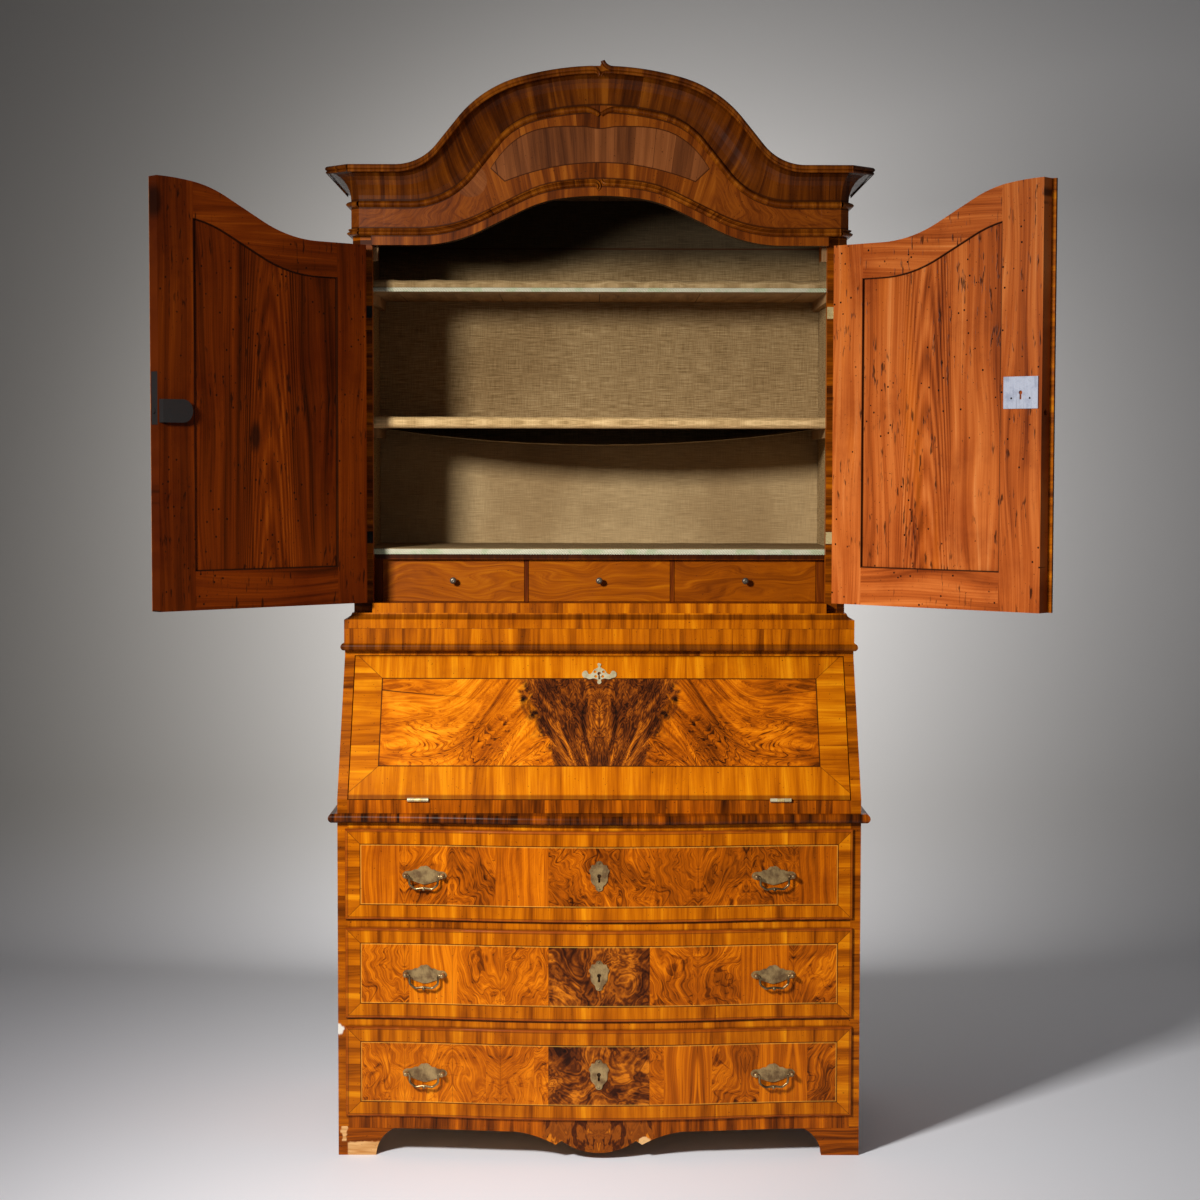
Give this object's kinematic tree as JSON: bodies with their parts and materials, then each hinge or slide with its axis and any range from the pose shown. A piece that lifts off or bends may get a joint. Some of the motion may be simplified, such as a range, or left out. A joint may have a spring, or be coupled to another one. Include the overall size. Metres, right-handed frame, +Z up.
{
  "type": "escritoire",
  "caption": "Baroque bureau-cabinet in figured walnut: arched doors standing open on linen-lined shelves, a sloping fall lid and serpentine drawers on bracket feet",
  "frame": {"origin": "on the floor, under the middle of the bounding box with the doors standing open", "axes": "+X to the right as seen from the front, +Y to the back, +Z up; the front faces -Y"},
  "size_m": [1.7136, 0.7826, 2.182],
  "materials": {
    "walnut_veneer": "waxed figured walnut veneer with crossbanding",
    "walnut_moulding": "waxed cross-grain walnut",
    "stained_softwood": "reddish stained softwood, worn",
    "plain_softwood": "unpolished aged softwood",
    "drawer_nest_wood": "thin polished veneer",
    "linen": "coarse aged linen",
    "braid": "woven pale braid",
    "aged_brass": "dull aged brass",
    "iron": "dark wrought iron",
    "steel": "filed bright steel"
  },
  "bodies": {
    "case": {"left_side": "walnut_veneer", "right_side": "walnut_veneer", "base_back": "plain_softwood", "drawer_supports": "plain_softwood", "drawer_rails": "walnut_veneer", "apron": "walnut_veneer", "bracket_feet": "walnut_veneer", "table_moulding": "walnut_moulding", "writing_board": "walnut_moulding", "pigeonholes": "plain_softwood", "desk_top": "plain_softwood", "waist_mouldings": "walnut_moulding", "cabinet_left_side": "walnut_moulding", "cabinet_right_side": "walnut_moulding", "cabinet_back": "plain_softwood", "small_drawer_case": "drawer_nest_wood", "shelves": "plain_softwood", "shelf_bearers": "plain_softwood", "linen_lining": "linen", "braid_trim": "braid", "arched_frieze": "walnut_veneer", "cornice_beads": "walnut_moulding", "cornice": "walnut_moulding", "roof_boards": "plain_softwood", "case_hinges": "iron"},
    "left_door": {"left_door_frame": "stained_softwood", "left_door_panel": "stained_softwood", "left_door_ironwork": "iron"},
    "left_door_bolt": {"left_door_bolt": "iron"},
    "right_door": {"right_door_frame": "stained_softwood", "right_door_panel": "stained_softwood", "right_door_lock": "steel", "right_door_hinges": "aged_brass"},
    "lid": {"lid_board": "walnut_veneer", "lid_fittings": "aged_brass"},
    "lid_lock_bolt": {"lid_lock_bolt": "steel"},
    "lower_drawer": {"lower_drawer_front": "walnut_veneer", "lower_drawer_box": "plain_softwood", "lower_drawer_fittings": "aged_brass"},
    "lower_drawer_bolt": {"lower_drawer_bolt": "steel"},
    "lower_drawer_left_bail": {"lower_drawer_left_bail": "aged_brass"},
    "lower_drawer_right_bail": {"lower_drawer_right_bail": "aged_brass"},
    "middle_drawer": {"middle_drawer_front": "walnut_veneer", "middle_drawer_box": "plain_softwood", "middle_drawer_fittings": "aged_brass"},
    "middle_drawer_bolt": {"middle_drawer_bolt": "steel"},
    "middle_drawer_left_bail": {"middle_drawer_left_bail": "aged_brass"},
    "middle_drawer_right_bail": {"middle_drawer_right_bail": "aged_brass"},
    "upper_drawer": {"upper_drawer_front": "walnut_veneer", "upper_drawer_box": "plain_softwood", "upper_drawer_fittings": "aged_brass"},
    "upper_drawer_bolt": {"upper_drawer_bolt": "steel"},
    "upper_drawer_left_bail": {"upper_drawer_left_bail": "aged_brass"},
    "upper_drawer_right_bail": {"upper_drawer_right_bail": "aged_brass"},
    "left_small_drawer": {"left_small_drawer": "drawer_nest_wood", "left_small_knob": "aged_brass"},
    "centre_small_drawer": {"centre_small_drawer": "drawer_nest_wood", "centre_small_knob": "aged_brass"},
    "right_small_drawer": {"right_small_drawer": "drawer_nest_wood", "right_small_knob": "aged_brass"}
  },
  "joints": [
    {"name": "left_door_swing", "type": "hinge", "parent": "case", "child": "left_door", "pos_m": [-0.4906, -0.04, 1.47901], "axis": [0, 0, -1], "range_deg": [-138, 32]},
    {"name": "right_door_swing", "type": "hinge", "parent": "case", "child": "right_door", "pos_m": [0.4906, -0.04, 1.47901], "axis": [0, 0, 1], "range_deg": [-138, 32]},
    {"name": "left_door_bolt_throw", "type": "slide", "parent": "left_door", "child": "left_door_bolt", "axis": [-0.7431, -0.6691, 0], "range_m": [-0.003, 0.009]},
    {"name": "lid_fall", "type": "hinge", "parent": "case", "child": "lid", "pos_m": [0, -0.2005, 0.71475], "axis": [1, 0, 0], "range_deg": [0, 120.78]},
    {"name": "lid_bolt_throw", "type": "slide", "parent": "lid", "child": "lid_lock_bolt", "axis": [0, 0.5117, 0.8592], "range_m": [0, 0.008]},
    {"name": "lower_drawer_pull", "type": "slide", "parent": "case", "child": "lower_drawer", "axis": [0, -1, 0], "range_m": [0, 0.36]},
    {"name": "lower_drawer_bolt_throw", "type": "slide", "parent": "lower_drawer", "child": "lower_drawer_bolt", "axis": [0, 0, 1], "range_m": [0, 0.008]},
    {"name": "lower_drawer_left_bail_lift", "type": "hinge", "parent": "lower_drawer", "child": "lower_drawer_left_bail", "pos_m": [-0.34717, -0.22576, 0.1705], "axis": [-0.996, 0.0897, 0], "range_deg": [0, 100]},
    {"name": "lower_drawer_right_bail_lift", "type": "hinge", "parent": "lower_drawer", "child": "lower_drawer_right_bail", "pos_m": [0.34717, -0.22576, 0.1705], "axis": [-0.996, -0.0897, 0], "range_deg": [0, 100]},
    {"name": "middle_drawer_pull", "type": "slide", "parent": "case", "child": "middle_drawer", "axis": [0, -1, 0], "range_m": [0, 0.36]},
    {"name": "middle_drawer_bolt_throw", "type": "slide", "parent": "middle_drawer", "child": "middle_drawer_bolt", "axis": [0, 0, 1], "range_m": [0, 0.008]},
    {"name": "middle_drawer_left_bail_lift", "type": "hinge", "parent": "middle_drawer", "child": "middle_drawer_left_bail", "pos_m": [-0.34717, -0.22576, 0.3685], "axis": [-0.996, 0.0897, 0], "range_deg": [0, 100]},
    {"name": "middle_drawer_right_bail_lift", "type": "hinge", "parent": "middle_drawer", "child": "middle_drawer_right_bail", "pos_m": [0.34717, -0.22576, 0.3685], "axis": [-0.996, -0.0897, 0], "range_deg": [0, 100]},
    {"name": "upper_drawer_pull", "type": "slide", "parent": "case", "child": "upper_drawer", "axis": [0, -1, 0], "range_m": [0, 0.36]},
    {"name": "upper_drawer_bolt_throw", "type": "slide", "parent": "upper_drawer", "child": "upper_drawer_bolt", "axis": [0, 0, 1], "range_m": [0, 0.008]},
    {"name": "upper_drawer_left_bail_lift", "type": "hinge", "parent": "upper_drawer", "child": "upper_drawer_left_bail", "pos_m": [-0.34717, -0.22576, 0.5665], "axis": [-0.996, 0.0897, 0], "range_deg": [0, 100]},
    {"name": "upper_drawer_right_bail_lift", "type": "hinge", "parent": "upper_drawer", "child": "upper_drawer_right_bail", "pos_m": [0.34717, -0.22576, 0.5665], "axis": [-0.996, -0.0897, 0], "range_deg": [0, 100]},
    {"name": "left_small_drawer_pull", "type": "slide", "parent": "case", "child": "left_small_drawer", "axis": [0, -1, 0], "range_m": [0, 0.2]},
    {"name": "centre_small_drawer_pull", "type": "slide", "parent": "case", "child": "centre_small_drawer", "axis": [0, -1, 0], "range_m": [0, 0.2]},
    {"name": "right_small_drawer_pull", "type": "slide", "parent": "case", "child": "right_small_drawer", "axis": [0, -1, 0], "range_m": [0, 0.2]}
  ]
}
